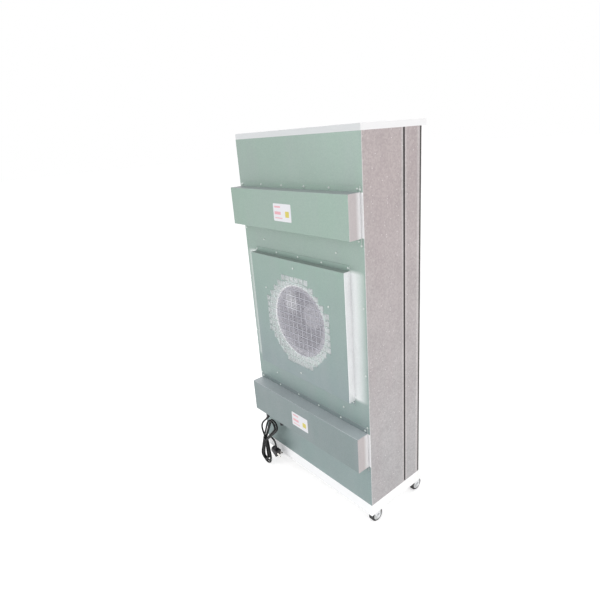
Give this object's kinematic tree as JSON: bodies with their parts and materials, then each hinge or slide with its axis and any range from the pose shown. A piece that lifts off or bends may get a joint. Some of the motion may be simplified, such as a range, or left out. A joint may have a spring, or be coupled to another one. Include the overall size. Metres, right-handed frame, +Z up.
{
  "type": "fan filter unit",
  "caption": "Tall fan filter unit on a wheeled white stand: zinc-coated casing, perforated intake cover over a centrifugal fan, box covers, pleated filter and tied mains cord.",
  "frame": {"origin": "on the floor, under the middle of the box round the unit without its cord", "axes": "+Z up, -Y the air intake side, +Y the filtered air outlet side, +X the unit's right side seen from the intake"},
  "size_m": [0.5755, 0.3345, 1.293],
  "materials": {
    "panel_zinc": "aluminium-zinc coated sheet, matte with a very fine spangle, pale grey-green",
    "side_zinc": "aluminium-zinc coated sheet, matte with a flecked spangle, warm grey",
    "bright_zinc": "bright galvanised sheet",
    "white_paint": "smooth white powder coat",
    "black_seal": "matte black foam rubber",
    "filter_paper": "folded glass fibre paper",
    "impeller_metal": "plain aluminium sheet",
    "motor_metal": "dark grey painted die casting",
    "plated_steel": "bright zinc plated steel",
    "hub_plastic": "light grey moulded plastic",
    "tyre_rubber": "black rubber",
    "black_plastic": "black moulded plastic",
    "capacitor_plastic": "pale grey plastic can",
    "cord_sheath": "black flexible sheath",
    "pin_metal": "nickel plated brass"
  },
  "bodies": {
    "unit": {"intake_panel": "panel_zinc", "left_side_panel": "side_zinc", "right_side_panel": "side_zinc", "top_end_panel": "side_zinc", "bottom_end_panel": "side_zinc", "casing_seal": "black_seal", "outlet_seal": "black_seal", "filter_frame": "side_zinc", "filter_pleat_pack": "filter_paper", "face_guard": "white_paint", "stand_base": "white_paint", "stand_cap": "white_paint", "stand_front_frame": "white_paint", "caster_rail_left": "white_paint", "caster_rail_right": "white_paint", "intake_cover": "panel_zinc", "upper_box_cover": "panel_zinc", "lower_box_cover": "panel_zinc", "inlet_ring": "bright_zinc", "motor_stator": "motor_metal", "motor_bridge": "bright_zinc", "cord_gland": "black_plastic", "speed_controller": "black_plastic", "terminal_block": "black_plastic", "run_capacitor": "capacitor_plastic", "supply_cord": "cord_sheath", "plug_cord": "cord_sheath", "cord_hank": "cord_sheath", "cord_tie": "black_plastic", "plug_body": "black_plastic", "plug_pins": "pin_metal", "caster_stem_intake_left": "plated_steel", "caster_stem_intake_right": "plated_steel", "caster_stem_outlet_left": "plated_steel", "caster_stem_outlet_right": "plated_steel"},
    "fan": {"impeller": "impeller_metal", "motor_rotor": "motor_metal"},
    "speed_knob": {"speed_knob": "black_plastic"},
    "swivel_intake_left": {"caster_fork_intake_left": "plated_steel", "caster_axle_intake_left": "plated_steel"},
    "wheel_intake_left": {"caster_hub_intake_left": "hub_plastic", "caster_tyre_intake_left": "tyre_rubber"},
    "swivel_intake_right": {"caster_fork_intake_right": "plated_steel", "caster_axle_intake_right": "plated_steel"},
    "wheel_intake_right": {"caster_hub_intake_right": "hub_plastic", "caster_tyre_intake_right": "tyre_rubber"},
    "swivel_outlet_left": {"caster_fork_outlet_left": "plated_steel", "caster_axle_outlet_left": "plated_steel"},
    "wheel_outlet_left": {"caster_hub_outlet_left": "hub_plastic", "caster_tyre_outlet_left": "tyre_rubber"},
    "swivel_outlet_right": {"caster_fork_outlet_right": "plated_steel", "caster_axle_outlet_right": "plated_steel"},
    "wheel_outlet_right": {"caster_hub_outlet_right": "hub_plastic", "caster_tyre_outlet_right": "tyre_rubber"}
  },
  "joints": [
    {"name": "fan_spin", "type": "hinge", "parent": "unit", "child": "fan", "pos_m": [0, -0.1195, 0.6875], "axis": [0, 1, 0], "continuous": true},
    {"name": "speed_knob_turn", "type": "hinge", "parent": "unit", "child": "speed_knob", "pos_m": [-0.1275, -0.1555, 0.253], "axis": [0, 0, -1], "range_deg": [0, 270]},
    {"name": "swivel_intake_left_turn", "type": "hinge", "parent": "unit", "child": "swivel_intake_left", "pos_m": [-0.2625, -0.0915, 0.06], "axis": [0, 0, 1], "continuous": true},
    {"name": "wheel_intake_left_spin", "type": "hinge", "parent": "swivel_intake_left", "child": "wheel_intake_left", "pos_m": [-0.2625, -0.0755, 0.025], "axis": [1, 0, 0], "continuous": true},
    {"name": "swivel_intake_right_turn", "type": "hinge", "parent": "unit", "child": "swivel_intake_right", "pos_m": [0.2625, -0.0915, 0.06], "axis": [0, 0, 1], "continuous": true},
    {"name": "wheel_intake_right_spin", "type": "hinge", "parent": "swivel_intake_right", "child": "wheel_intake_right", "pos_m": [0.2625, -0.0755, 0.025], "axis": [1, 0, 0], "continuous": true},
    {"name": "swivel_outlet_left_turn", "type": "hinge", "parent": "unit", "child": "swivel_outlet_left", "pos_m": [-0.2625, 0.1255, 0.06], "axis": [0, 0, 1], "continuous": true},
    {"name": "wheel_outlet_left_spin", "type": "hinge", "parent": "swivel_outlet_left", "child": "wheel_outlet_left", "pos_m": [-0.2625, 0.1415, 0.025], "axis": [1, 0, 0], "continuous": true},
    {"name": "swivel_outlet_right_turn", "type": "hinge", "parent": "unit", "child": "swivel_outlet_right", "pos_m": [0.2625, 0.1255, 0.06], "axis": [0, 0, 1], "continuous": true},
    {"name": "wheel_outlet_right_spin", "type": "hinge", "parent": "swivel_outlet_right", "child": "wheel_outlet_right", "pos_m": [0.2625, 0.1415, 0.025], "axis": [1, 0, 0], "continuous": true}
  ]
}
